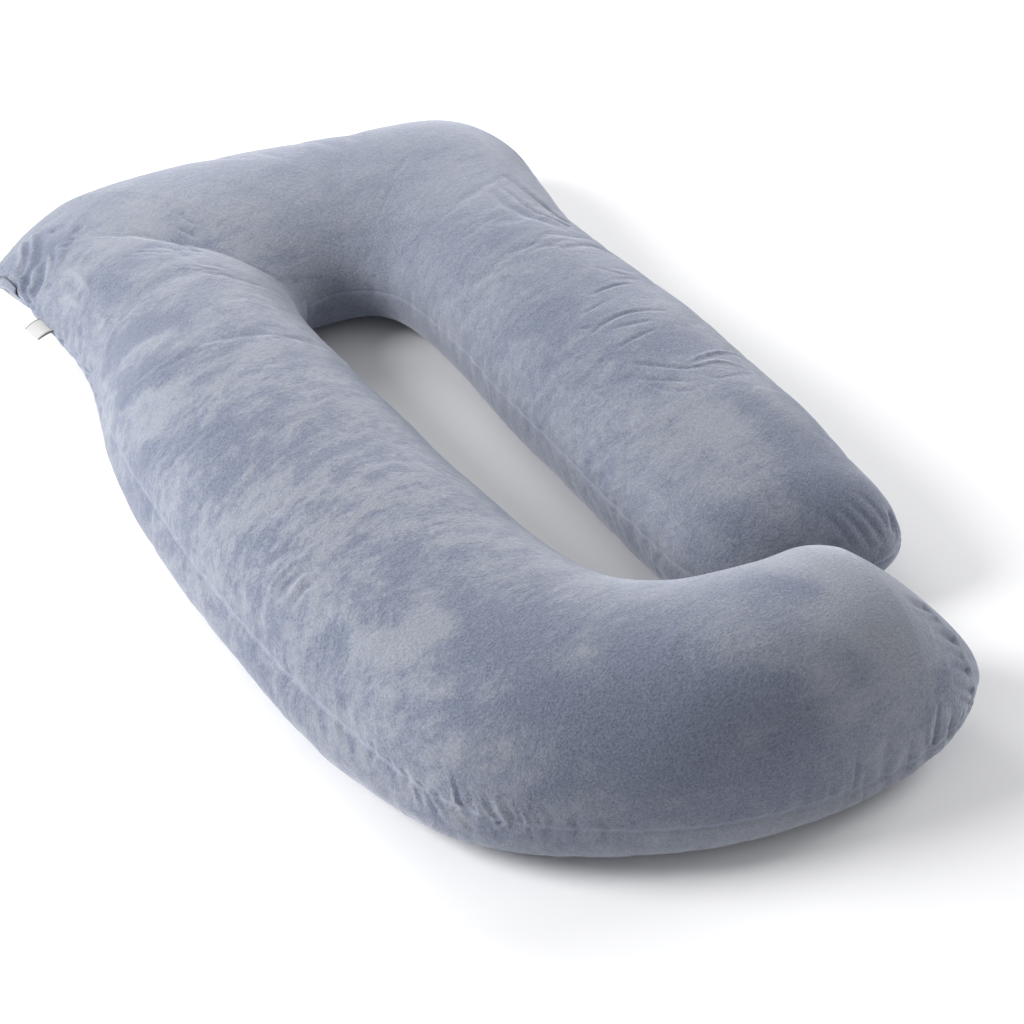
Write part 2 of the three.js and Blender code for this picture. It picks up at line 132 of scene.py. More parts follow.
# Creases that the photograph shows: where each is deepest, its depth (less than 0 for a ridge), its
# width, and the pixels of the photograph's frame that it runs through.
CREASES = [
    # Fan of folds at the far waist
    ("end", 4.6, 7, (500, 172), (513, 180), (530, 193), (545, 205), (558, 215), (567, 222)),
    ("end", 3.4, 4, (495, 179), (503, 187), (515, 197), (526, 205), (540, 212), (568, 226)),
    ("middle", 3.4, 10, (492, 190), (505, 202), (518, 211), (535, 218), (550, 223), (569, 231)),
    ("end", 3.6, 5, (514, 151), (522, 160)),
    # Cross wrinkles on the short arm
    ("middle", 1.6, 3.5, (592, 266), (616, 272), (636, 277)),
    ("middle", 2.3, 3.5, (591, 295), (610, 287), (632, 282)),
    ("middle", 1.4, 3.4, (580, 316), (594, 308), (610, 298)),
    ("middle", 2.3, 3.5, (580, 329), (591, 329)),
    ("middle", 2.7, 4.2, (588, 338), (605, 324), (627, 314), (667, 312)),
    ("middle", 1.4, 4.2, (605, 332), (636, 324), (655, 321)),
    ("middle", 2.3, 3.5, (618, 349), (633, 340), (657, 330)),
    ("middle", 2.2, 3.5, (601, 364), (603, 357)),
    ("middle", 2.5, 3.5, (624, 363), (653, 366), (684, 368), (706, 366)),
    ("middle", -2.3, 3.5, (684, 363), (706, 354), (734, 353), (751, 363)),
    ("middle", -2, 3.5, (689, 368), (717, 361), (745, 368)),
    ("middle", 2.2, 3.5, (627, 374), (655, 380), (700, 382)),
    ("middle", 1.4, 4.2, (644, 382), (672, 391), (700, 388)),
    ("middle", 1.3, 3.5, (695, 371), (720, 377), (754, 374)),
    ("middle", 2, 7, (560, 250), (600, 248), (630, 262)),
    # Short arm's end
    ("middle", 2, 6, (835, 505), (856, 523), (872, 548)),
    ("middle", 2, 6, (846, 498), (868, 518), (884, 545)),
    ("middle", 1.8, 6, (822, 512), (842, 530), (858, 552)),
    ("middle", 1.8, 6, (858, 492), (876, 508), (890, 533)),
    ("middle", 5, 8, (888, 508), (893, 519), (893, 534)),
    # Ridges and hollows that leave the seam at the near corner
    ("start", -5, 7, (24, 245), (23, 255), (19, 266), (15, 276)),
    ("start", -6, 8, (33, 237), (36, 251), (32, 266), (30, 282)),
    ("start", -5, 7, (50, 255), (47, 271), (43, 284), (37, 297)),
    ("middle", -3.6, 6, (60, 245), (62, 256), (56, 266)),
    ("end", 6, 9, (29, 246), (26, 258), (19, 271)),
    ("end", 6.5, 8, (38, 238), (37, 259), (29, 269), (24, 282)),
    ("end", 6, 9, (42, 242), (45, 261), (41, 279), (31, 292)),
    ("middle", 4.5, 9, (54, 246), (55, 262)),
    ("middle", 4, 9, (63, 250), (69, 243)),
    ("middle", 4, 5, (70, 238), (76, 232), (83, 225)),
    ("middle", 3, 6, (50, 233), (57, 230)),
    ("middle", 3, 5, (71, 243), (75, 239)),
    ("middle", -3, 5, (68, 271), (76, 271), (83, 280), (87, 288)),
    ("middle", -3, 5, (65, 297), (71, 299), (79, 306)),
    ("middle", 2.4, 7, (66, 283), (72, 284), (78, 292)),
    ("middle", -2, 5, (79, 268), (89, 252)),
    ("middle", 2, 6, (106, 285), (116, 292)),
    ("start", 5, 6, (24, 290), (27, 299), (35, 309)),
    # Puckers below the label
    ("middle", -1.6, 6, (107, 317), (100, 331)),
    ("middle", -1.8, 7, (122, 320), (111, 338), (106, 350)),
    ("middle", 2, 5, (79, 325), (82, 335)),
    ("end", 4, 7, (66, 340), (59, 342)),
    ("end", 4, 7, (82, 350), (74, 357)),
    ("end", 4, 7, (96, 366), (87, 373)),
    # Fine folds on the head end's near side
    ("middle", 2.2, 5, (181, 214), (191, 222), (199, 226)),
    ("middle", 2.2, 5, (178, 228), (188, 233), (197, 238)),
    ("middle", 2, 5, (176, 238), (187, 246), (198, 254)),
    ("middle", 1.8, 5, (174, 247), (184, 255), (194, 263)),
    # Soft dents across the long arm
    ("middle", -1, 7, (106, 381), (121, 364), (140, 348), (170, 338)),
    ("middle", 1, 8, (102, 438), (139, 401), (184, 379), (217, 364)),
    ("middle", -0.8, 6, (86, 380), (92, 365), (106, 352)),
    # Folds at the bend into the foot end
    ("middle", -1.8, 5, (318, 556), (300, 560), (286, 570), (274, 584), (268, 600)),
    ("middle", 2.6, 6, (320, 566), (303, 571), (291, 582), (281, 598)),
    ("middle", -1.8, 4, (322, 573), (306, 577), (295, 587), (288, 600)),
    ("middle", 2.4, 5, (324, 580), (310, 584), (300, 593), (293, 606)),
    ("middle", -1.2, 4, (327, 588), (314, 591), (306, 599)),
    ("middle", 1.6, 6, (312, 546), (294, 549), (276, 558), (262, 574)),
    ("middle", -1, 5, (306, 538), (284, 543), (266, 556)),
    ("middle", 1.4, 6, (322, 614), (330, 622), (349, 632)),
    ("middle", -1.2, 6, (328, 608), (340, 618), (352, 622)),
    # Gathers along the front seam, below it and above it
    ("start", -2.7, 2.6, (333, 717), (337, 730), (344, 757)),
    ("start", 2.4, 2.6, (340, 722), (343, 735), (350, 758)),
    ("start", 1.1, 2.6, (354, 731), (358, 752)),
    ("start", 0.9, 2.6, (366, 742), (372, 764)),
    ("start", 1.8, 2.6, (388, 759), (393, 770), (402, 790)),
    ("start", 2.4, 2.6, (402, 769), (411, 787), (426, 817)),
    ("start", -3, 2.8, (408, 780), (413, 793), (420, 810)),
    ("start", -3, 2.8, (430, 792), (438, 806), (446, 818)),
    ("start", 2.2, 2.6, (420, 783), (431, 799), (449, 824)),
    ("start", 1.7, 2.6, (437, 795), (444, 806), (454, 820)),
    ("start", 2.2, 2.6, (454, 808), (462, 819), (477, 832)),
    ("start", 1.8, 2.6, (491, 822), (497, 832), (506, 841)),
    ("start", 1.3, 2.6, (529, 829), (536, 841)),
    ("end", -3, 2.2, (444, 756), (452, 782), (458, 801)),
    ("end", 1.6, 1.9, (451, 763), (457, 787), (463, 804)),
    ("end", 1.8, 1.9, (461, 771), (469, 793), (475, 808)),
    ("end", -2.7, 2.2, (478, 791), (488, 810), (494, 820)),
    ("end", 2.1, 1.9, (482, 787), (493, 809), (499, 822)),
    ("end", -2.6, 2.6, (494, 793), (504, 812), (509, 823)),
    ("end", 2.2, 1.9, (499, 790), (510, 811), (515, 824)),
    ("end", 2.1, 1.9, (509, 790), (519, 811), (523, 825)),
    ("end", -2.4, 2.2, (514, 797), (524, 815), (528, 825)),
    ("end", 1.8, 2.6, (530, 801), (538, 819), (542, 828)),
    ("end", 1.7, 2, (544, 806), (552, 820), (556, 829)),
    ("end", 2, 2.6, (569, 814), (575, 825), (578, 830)),
    ("end", 1.4, 2.6, (595, 808), (603, 822), (608, 830)),
    ("end", 1.1, 2.6, (630, 807), (635, 821), (637, 829)),
    # Creases into the seam under the tip
    ("end", 3.4, 3.4, (856, 748), (856, 770), (854, 798)),
    ("end", 1.8, 3.4, (834, 770), (833, 784), (831, 800)),
    ("end", 2.4, 3.4, (867, 768), (866, 784), (864, 800)),
    ("end", 2.6, 3.4, (888, 760), (887, 775), (885, 792)),
    ("end", 4, 3.6, (938, 702), (937, 722), (935, 744)),
    ("end", -1.8, 3.6, (932, 706), (931, 724), (929, 744)),
    ("end", 2.8, 3.4, (953, 714), (951, 726), (949, 738)),
    ("end", 2, 3.4, (964, 708), (962, 718), (959, 728)),
    ("end", 1.8, 3.4, (912, 738), (911, 752), (909, 768)),
    ("end", 1.4, 3.4, (806, 782), (805, 793), (804, 806)),
    ("end", 1.6, 3.4, (778, 792), (777, 802), (776, 812)),
    # Hollows round the tip
    ("end", 6, 7, (906, 598), (917, 602), (928, 607)),
    ("end", 3, 5, (914, 612), (925, 616), (938, 620)),
    ("end", 6, 7, (932, 630), (943, 634), (955, 639)),
    ("end", 3.4, 5, (938, 648), (950, 652), (962, 656)),
    ("end", 4.6, 6, (948, 664), (958, 667), (969, 671)),
    ("end", 3.4, 5, (952, 684), (963, 688), (973, 692)),
    ("end", 3, 4, (956, 698), (966, 702), (975, 706)),
]
SEAM_CALM = 0.0028  # creases stop this far from a seam, so that it runs straight
CREASE_BANKS = 0.6  # how much of a crease's depth its two banks rise
CREASE_FADE = 0.6
CREASE_SHADE = 0.45  # how much darker a trough of the full depth is painted, for crushed pile and painted shade, and a ridge lighter, as a painted highlight
FULL_DEPTH = 0.003

# Marks where the pile is brushed the other way, and painted shade in hollows and troughs and painted
# highlights on ridges: how much lighter or darker, from -1 to 1, how wide, and the pixels of the
# photograph's frame that each runs through.
PILE_AND_SHADING_MARKS = [
    # Long arm
    (-0.9, 20, (93, 282), (112, 288), (130, 295)),
    (-0.8, 18, (113, 364), (128, 340), (150, 326), (178, 319)),
    (-1.0, 34, (135, 385), (152, 375), (172, 368)),
    (-0.8, 24, (121, 412), (128, 396)),
    (-0.9, 26, (169, 455), (210, 434), (260, 418)),
    (-0.6, 24, (140, 470), (160, 452)),
    (0.7, 12, (106, 381), (121, 364), (140, 348), (170, 338)),
    (0.7, 12, (102, 438), (139, 401), (184, 379), (217, 364)),
    (0.5, 30, (150, 410), (200, 395), (240, 380)),
    (-0.6, 30, (200, 480), (240, 470), (290, 450)),
    (0.5, 30, (220, 520), (262, 505), (300, 490)),
    (-0.5, 26, (235, 560), (262, 548)),
    # Head end
    (0.6, 60, (100, 240), (150, 215), (200, 205)),
    (-0.5, 30, (176, 225), (195, 240)),
    # The near corner: painted shade in its hollows, then painted highlights on its ridges
    (-1.2, 10, (28, 246), (29, 260), (26, 276), (25, 288)),
    (-1.3, 12, (39, 236), (41, 250), (38, 266)),
    (-0.9, 12, (12, 256), (10, 270)),
    (-1.1, 10, (52, 247), (56, 256), (56, 264)),
    (-1.1, 10, (61, 246), (68, 243), (67, 250)),
    (-0.9, 10, (32, 294), (37, 286), (43, 279)),
    (-0.9, 8, (47, 232), (53, 230), (60, 228)),
    (-0.6, 14, (74, 259), (80, 258)),
    (-0.9, 6, (25, 302), (29, 308), (35, 311)),
    (0.9, 5, (64, 272), (72, 270), (79, 273), (86, 288)),
    (0.8, 5, (60, 300), (68, 298), (74, 302), (79, 308)),
    (0.7, 5, (23, 243), (22, 258), (20, 268), (15, 277)),
    (0.8, 5, (33, 235), (35, 250), (34, 262), (30, 280), (26, 297)),
    (0.7, 5, (50, 248), (49, 262), (44, 285), (38, 297), (36, 310)),
    (0.4, 30, (75, 285), (76, 300)),
    (-0.4, 40, (300, 150), (360, 146)),
    # Short arm
    (-0.8, 30, (655, 345), (685, 343), (712, 350)),
    (-0.5, 40, (717, 385), (745, 398), (773, 413)),
    (0.7, 22, (770, 395), (790, 415), (800, 433)),
    (-0.8, 46, (780, 440), (810, 458), (838, 480)),
    (0.7, 44, (680, 412), (720, 430), (756, 450)),
    (-0.5, 30, (700, 517), (728, 525), (756, 534)),
    (-0.5, 40, (810, 490), (850, 520)),
    (-0.4, 40, (530, 300), (560, 330)),
    # Curl
    (-1.0, 20, (462, 610), (480, 625), (484, 640), (465, 650), (442, 659)),
    (-0.7, 36, (490, 620), (520, 628), (550, 638)),
    (0.8, 34, (406, 620), (430, 632), (455, 632)),
    (-0.7, 20, (378, 622), (392, 618)),
    (-0.8, 30, (530, 698), (560, 700)),
    (-0.6, 26, (455, 716), (475, 712)),
    (0.6, 30, (445, 742), (465, 748)),
    (0.6, 40, (420, 680), (455, 690)),
    (-0.8, 30, (695, 747), (724, 712), (775, 694)),
    (0.5, 30, (735, 735), (760, 725)),
    (-0.6, 44, (760, 779), (795, 770)),
    (-0.8, 22, (760, 579), (798, 585), (833, 595)),
    # The curl's top, lighter: partly the pile's lie, partly painted light
    (1.3, 60, (826, 572), (866, 590), (908, 628)),
    (1.0, 45, (770, 556), (815, 550), (860, 560)),
    (0.6, 30, (850, 625), (885, 635), (915, 655)),
    (-0.55, 85, (520, 705), (600, 740), (680, 770), (760, 770)),
    (-0.45, 50, (590, 632), (640, 640), (690, 650)),
    (-0.4, 24, (808, 645), (846, 650), (883, 650)),
    (-0.4, 24, (841, 675), (868, 679)),
    (-0.6, 30, (933, 683), (945, 690)),
    (0.7, 24, (812, 660), (830, 680), (843, 700)),
    (-0.5, 50, (650, 690), (690, 680)),
    (0.4, 40, (700, 650), (740, 640)),
    (0.5, 30, (560, 660), (600, 668)),
    # Painted highlights on the ridges of the gathers below the front seam, and painted shade in their troughs
    (0.9, 2.6, (340, 737), (344, 750), (347, 763)),
    (0.8, 2.6, (357, 741), (362, 756), (366, 770)),
    (1.0, 2.6, (408, 781), (413, 793), (420, 809)),
    (0.8, 2.6, (421, 792), (425, 801), (429, 809)),
    (1.0, 2.6, (430, 793), (438, 806), (446, 817)),
    (1.0, 2.6, (450, 785), (455, 803), (466, 823)),
    (0.7, 2.6, (394, 770), (398, 782), (404, 796)),
    (-0.9, 3, (414, 785), (420, 798), (425, 806)),
    (-0.9, 3, (425, 790), (431, 802), (437, 812)),
    (-0.8, 3, (346, 732), (350, 744), (353, 756)),
    (-0.8, 3, (456, 792), (461, 802), (468, 814)),
    (-0.6, 3, (388, 764), (392, 775), (397, 786)),
]

# Sections where the under panel's pile looks lighter, and where the pile is rubbed into streaks
UNDER_SHADE = ((20.4, 0), (21.2, 0.4), (22.0, 1.3), (23.7, 1.3), (24, 0.4))
RUBBED = ((0, 0.35), (3, 0.45), (5, 0.35), (7, 0.2), (11, 0.1), (12.6, 0.5), (13.5, 0.6), (15, 0.7),
          (17, 1.1), (19, 1.0), (20.4, 0.4), (22, 0.2), (24, 0.5))

PLUSH = (0.190, 0.207, 0.256)
PLUSH_DEEP = (0.122, 0.143, 0.204)  # the pile seen against its lie
PLUSH_PALE = (0.262, 0.280, 0.318)  # and along it
TAPE = (0.470, 0.465, 0.460)

# The label: where on the outer seam, its width along the seam, how far it stands out, the space
# between its two layers, how much wider that is in the middle, how far it droops, twists and cups,
# the tape's thickness, and where its firmer border, painted darker as shade, begins and ends.
LABEL = {
    "place": 14.13, "along": 0.038, "out": 0.022, "gap": 0.0014, "bulge": 0.7, "droop": 0.0065,
    "twist": 0.0022, "cup": 0.0030, "tape": 0.0006, "border": (0.0032, 0.0022),
}

# The seam rides up at the closure's end: where, over how many sections, how far up and across.
CORNER_LIFT = {"place": 13.5, "spread": 0.30, "height": 0.020, "reach": 0.050}

# The covered end of the closure: a rolled strip along the seam, between two sections, from one
# distance below the seam (less than 0 is above it) to another, how far it swells, its cloth, how deep
# and close its gathers are, and the share of its length that each end tapers over. The slit over it:
# how far above the seam, its height and depth, and how far the cloth above it stands out.
LIP = {
    "from": 12.6, "to": 13.64, "top": -0.0080, "bottom": 0.0085, "swell": 0.0030, "cloth": 0.0010,
    "gathers": 0.16, "waves": (41, 17), "taper": 0.16,
}
SLIT = {"at": 0.0105, "height": 0.0026, "depth": 0.0075, "lip": 0.0020}
LIP_GAP = 0.0004  # between the lip and the cushion
LIP_STEPS = 22
SEAM_COLUMNS = 24
LABEL_STEPS = 28
TAPE_WEAVE = 0.0009  # a thread and its gap
# How wide the painted highlight along the seams is
SEAM_HIGHLIGHT_WIDTH = 0.0016

# The floor, its paint and how far it lies under the frame's zero, and the lights
FLOOR_REACH = 14.0
FLOOR_DROP = -0.0006
FLOOR_PAINT = (0.92, 0.92, 0.93)
LIGHTS = [
    ("key", (-3.36, 1.05, 2.31), 2.2, 214),
    ("back", (-0.2, 3.6, 2.3), 2.2, 58),
    ("right", (3.8, 0.1, 1.7), 2.2, 92),
]
LIT_POINT = (0, 0, 0.1)
AMBIENT = 0.45


def signed_power(value, power):
    """The value's size raised to a power, with its sign kept."""
    return np.sign(value) * np.abs(value) ** power


def column(name, place):
    """A column of the section table at places along it, straight between its rows."""
    return np.interp(place, np.arange(LAST + 1), SECTIONS[:, SECTION_COLUMNS.index(name)])


def by_section(table, place):
    """Values at places along the cushion, straight between a table's pairs of section and value."""
    sections, values = np.array(table).T
    return np.interp(place, sections, values)


def seam_line(side, place):
    """Points of a seam at places along the table: a Catmull-Rom curve through the table's points,
    where each stretch counts as the square root of its length."""
    start = SECTION_COLUMNS.index(side + "_x")
    points = SECTIONS[:, start:start + 3]
    knots = np.vstack([2 * points[0] - points[1], points, 2 * points[-1] - points[-2]])
    index = np.clip(place.astype(int), 0, LAST - 1)
    part = (place - index)[:, None]
    p0, p1, p2, p3 = (knots[index + step] for step in range(4))
    d0, d1, d2 = (np.sqrt(np.linalg.norm(b - a, axis=1))[:, None] for a, b in ((p0, p1), (p1, p2), (p2, p3)))
    leave = ((p1 - p0) / d0 - (p2 - p0) / (d0 + d1) + (p2 - p1) / d1) * d1
    arrive = ((p2 - p1) / d1 - (p3 - p1) / (d1 + d2) + (p3 - p2) / d2) * d1
    bend = 3 * (p2 - p1) - 2 * leave - arrive
    return p1 + part * (leave + part * (bend + part * (2 * (p1 - p2) + leave + arrive)))


def running_length(points):
    """Distance along rows of points, from the first row: the sum of the steps between them."""
    steps = np.linalg.norm(np.diff(points, axis=0), axis=-1)
    return np.concatenate([np.zeros_like(steps[:1]), np.cumsum(steps, axis=0)])


PLACES = np.linspace(0, LAST, 4 * FINE_STEPS + 1)
TRAVEL = (
    OUTER_WEIGHT * running_length(seam_line("outer", PLACES))
    + (1 - OUTER_WEIGHT) * running_length(seam_line("inner", PLACES))
)
FULL_TRAVEL = TRAVEL[-1]


def end_share(distance, end, measure):
    """Share of the full section at a distance from a tip: a quarter of a superellipse, then 1."""
    inside = np.clip(1 - distance / end["length"], 0, 1)
    return (1 - inside ** end[measure]) ** (1 / end[measure])


def size_share(travel, measure):
    """The share along the whole cushion, below 1 near its two tips alone."""
    short = end_share(travel, SHORT_END, measure)
    return np.minimum(short, end_share(FULL_TRAVEL - travel, CURL_END, measure))


def cover_points(travel, angle):
    """Points of the smooth cover at distances along it (n) and angles round each section (n, m).

    Angle 0 is the outer seam, a quarter turn the crown, a half turn the inner seam and three quarters
    the underside. Across and up, the section is a superellipse between the two seams, pulled in near
    them, swollen under the outer one, and cut off level where it would pass through the floor."""
    place = np.interp(travel, TRAVEL, PLACES)
    outer, inner = seam_line("outer", place), seam_line("inner", place)
    middle, half = (outer + inner) / 2, (outer - inner) / 2
    width, height = size_share(travel, "plan")[:, None], size_share(travel, "height")[:, None]
    crown, full, wall, swell = (column(name, place)[:, None] for name in ("crown", "full", "wall", "swell"))
    sine, cosine = np.sin(angle), np.cos(angle)
    over, on_outer = sine >= 0, cosine > 0
    fullness = np.where(on_outer, np.where(over, full, wall), np.where(over, INNER_OVER, INNER_UNDER))
    across = signed_power(cosine, 2 / fullness) * width
    seam_z = middle[:, 2:] + half[:, 2:] * across
    rise = np.abs(sine) ** (2 / fullness) * height
    off_seam = np.minimum(1, np.abs(sine) / SEAM_BAND)
    half_width = np.hypot(half[:, :1], half[:, 1:2])
    bulge = np.where(on_outer & ~over, swell * 4 * rise * (1 - rise), 0)
    drawn_in = (SEAM_DRAW * (1 - off_seam) ** 2 - bulge) * width
    slope = np.arctan2(rise * (crown - seam_z), np.maximum(0.001, np.abs(across) * half_width))
    share = across - np.sign(cosine) * drawn_in * np.cos(slope) / half_width
    drop = drawn_in * np.sin(slope)
    height_over = np.where(over, rise * (crown - seam_z) - drop, drop - rise * (seam_z + BASE_PRESS))
    points = np.empty(across.shape + (3,))
    points[..., :2] = middle[:, None, :2] + half[:, None, :2] * share[..., None]
    points[..., 2] = np.maximum(0, seam_z + height_over)
    return points


def row_interp(wanted, known, values):
    """One straight interpolation for each row: the rows, scaled to 0 to 1, are laid end to end."""
    offset = 2 * np.arange(len(known))[:, None]
    scaled = known / known[:, -1:]
    found = np.interp((wanted + offset).ravel(), (scaled + offset).ravel(), values.ravel())
    return found.reshape(wanted.shape)


def crowded(count):
    """Shares from 0 to 1 for count steps, closer together at both ends, by a sine taken from a line."""
    line = np.linspace(0, 1, count + 1)
    return line - CROWDING * np.sin(2 * np.pi * line) / (2 * np.pi)


def ring_places(count):
    """Distances along the cushion of rings that stand evenly, by the mean step of seams and crown."""
    travel = FULL_TRAVEL * (1 - np.cos(np.linspace(0, np.pi, 20 * FINE_STEPS + 1))) / 2
    lines = cover_points(travel, np.broadcast_to([0, np.pi / 2, np.pi], (len(travel), 3)))
    run = running_length(lines) @ np.array(RING_MIX)
    return np.interp(np.linspace(0, run[-1], count + 2)[1:-1], run, travel)


class Cover:
    """The cushion's grid: points (ring, column, 3), where each ring stands, and how far each column
    is from both seams. Columns go from the outer seam over the top to the inner one, and back under."""

    def __init__(self):
        self.travel = ring_places(RINGS)
        self.place = np.interp(self.travel, TRAVEL, PLACES)
        over, under = crowded(TOP_COLUMNS), crowded(UNDER_COLUMNS)
        angles, from_outer, from_inner = [], [], []
        for shares, turn in ((over, 1), (under, -1)):
            fine = np.broadcast_to(np.linspace(0, np.pi, FINE_STEPS + 1), (RINGS, FINE_STEPS + 1))
            fine_points = cover_points(self.travel, turn * fine)
            run = running_length(fine_points.swapaxes(0, 1)).T
            angles.append(turn * row_interp(np.broadcast_to(shares, (RINGS, len(shares))), run, fine))
            from_outer.append(shares * run[:, -1:])
            from_inner.append((1 - shares) * run[:, -1:])
        join = lambda pair: np.hstack([pair[0][:, :-1], pair[1][:, :0:-1]])
        self.points = cover_points(self.travel, join(angles))
        self.from_outer, self.from_inner = join(from_outer), join(from_inner)
        self.panel = np.concatenate([over[:-1], -under[:0:-1]])  # 0 outer seam, 1 and -1 inner seam
        self.columns = len(self.panel)
        self.inner_column = TOP_COLUMNS
        self.along = {
            "outer": running_length(self.points[:, 0]),
            "inner": running_length(self.points[:, self.inner_column]),
        }
        low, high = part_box("filled_cover")
        ends = self.points.reshape(-1, 3)
        self.shift = (np.array(low) + high) / 2 - (ends.min(0) + ends.max(0)) / 2
        self.shift[2] = 0
        self.points += self.shift
        rounder = blurred(self.points, 0, CROWN_SPREAD) - self.points
        self.points += rounder * self.crown_weight()[..., None]
        raised = bell(self.place - CORNER_LIFT["place"], CORNER_LIFT["spread"])[:, None]
        near = bell(self.from_outer, CORNER_LIFT["reach"])
        self.points[..., 2] += CORNER_LIFT["height"] * raised * near
        self.tips = [
            cover_points(np.array([where]), np.zeros((1, 1)))[0, 0] + self.shift for where in (0, FULL_TRAVEL)
        ]

    def crown_weight(self):
        """Where the crown is rounded off: along the head end, and by a sine away from the seams."""
        away = np.clip(CROWN_EDGE * np.sin(np.pi * self.panel), 0, 1)
        return by_section(CROWN_ROUNDED, self.place)[:, None] * away ** 2

    def normals(self):
        """Outward normals: the cross product of the steps along the cushion and round it."""
        along = np.gradient(self.points, axis=0)
        around = np.roll(self.points, -1, axis=1) - np.roll(self.points, 1, axis=1)
        normal = np.cross(along, around)
        return normal / np.maximum(np.linalg.norm(normal, axis=2, keepdims=True), 1e-12)


def grid_mesh(name, points, tips):
    """A mesh of rings joined by four-sided faces, closed at each end by a fan of triangles."""
    rings, columns = points.shape[:2]
    mesh = bpy.data.meshes.new(name)
    vertices = np.vstack([points.reshape(-1, 3), tips])
    first_tip, last_tip = rings * columns, rings * columns + 1
    ring, step = np.meshgrid(np.arange(rings - 1), np.arange(columns), indexing="ij")
    after = (step + 1) % columns
    quads = np.stack([
        ring * columns + step, (ring + 1) * columns + step,
        (ring + 1) * columns + after, ring * columns + after,
    ], axis=-1).reshape(-1, 4)
    step = np.arange(columns)
    after = (step + 1) % columns
    last_ring = (rings - 1) * columns
    first_fan = np.stack([np.full(columns, first_tip), step, after], axis=-1)
    last_fan = np.stack([np.full(columns, last_tip), last_ring + after, last_ring + step], axis=-1)
    corners = np.concatenate([quads.ravel(), first_fan.ravel(), last_fan.ravel()]).astype(np.int32)
    sizes = np.concatenate([np.full(len(quads), 4), np.full(2 * columns, 3)])
    starts = np.concatenate([[0], np.cumsum(sizes)[:-1]]).astype(np.int32)
    mesh.vertices.add(len(vertices))
    mesh.vertices.foreach_set("co", vertices.ravel().astype(np.float32))
    mesh.loops.add(len(corners))
    mesh.loops.foreach_set("vertex_index", corners)
    mesh.polygons.add(len(starts))
    mesh.polygons.foreach_set("loop_start", starts)
    mesh.update(calc_edges=True)
    mesh.validate()
    mesh.shade_smooth()
    return mesh


def placed(name, mesh):
    """A new object for a mesh, at the origin."""
    piece = bpy.data.objects.new(name, mesh)
    bpy.context.scene.collection.objects.link(piece)
    return piece


# The filling
FILL_FRAMES = 20
FILL_CLOTH = {
    "quality": 4, "mass": 0.2, "tension_stiffness": 14, "compression_stiffness": 14,
    "shear_stiffness": 4, "bending_stiffness": 0.4, "use_pressure": True, "uniform_pressure_force": 4.0,
    "vertex_group_mass": "floor", "vertex_group_shrink": "seam",
    "shrink_min": -0.012,  # the panels grow, so that they wrinkle
    "shrink_max": 0.05,  # the thread draws the seams together
}
SEAM_REACH = 0.012
FLOOR_TOUCH = 0.002
AROUND = 0.9  # about how far it is round a section
WRINKLE_SIZE = 0.075  # swelling wider than this is taken out again, so that the outline stays
WRINKLE_CAP = 0.007
# How much of the wrinkling shows, at sections: the head end, the long arm and the curl are taut.
SLACKNESS = ((0, 0.3), (2, 0.3), (5, 0.3), (6, 0.15), (7.8, 0.15), (9, 0.25), (12, 0.3), (13.3, 0.5),
             (14, 0.35), (15, 0.2), (16.4, 0.3), (19, 0.3), (20, 0.25), (22.4, 0.2), (24, 0.4))


def blurred(field, rings, columns):
    """Three box blurs over the grid: each point becomes the mean of its neighbours along and around."""
    for _ in range(3):
        padded = np.concatenate([field[:1].repeat(rings, 0), field, field[-1:].repeat(rings, 0)])
        total = np.cumsum(np.concatenate([np.zeros_like(padded[:1]), padded]), axis=0)
        field = (total[2 * rings + 1:] - total[:-2 * rings - 1]) / (2 * rings + 1)
        wrapped = np.concatenate([field[:, -columns:], field, field[:, :columns]], axis=1)
        total = np.cumsum(np.concatenate([np.zeros_like(wrapped[:, :1]), wrapped], axis=1), axis=1)
        field = (total[:, 2 * columns + 1:] - total[:, :-2 * columns - 1]) / (2 * columns + 1)
    return field


def finer(field, axis, closed, steps=COARSE):
    """A field with several steps for each old one along an axis, by Catmull-Rom curves."""
    field = np.moveaxis(field, axis, 0)
    count = len(field)
    wanted = np.arange(count * steps if closed else (count - 1) * steps + 1) / steps
    index = wanted.astype(int)
    part = (wanted - index).reshape((-1,) + (1,) * (field.ndim - 1))
    around = [index + step for step in (-1, 0, 1, 2)]
    around = [each % count if closed else np.clip(each, 0, count - 1) for each in around]
    p0, p1, p2, p3 = (field[each] for each in around)
    bend = 2 * p0 - 5 * p1 + 4 * p2 - p3 + part * (3 * (p1 - p2) + p3 - p0)
    return np.moveaxis(p1 + part / 2 * (p2 - p0 + part * bend), 0, axis)


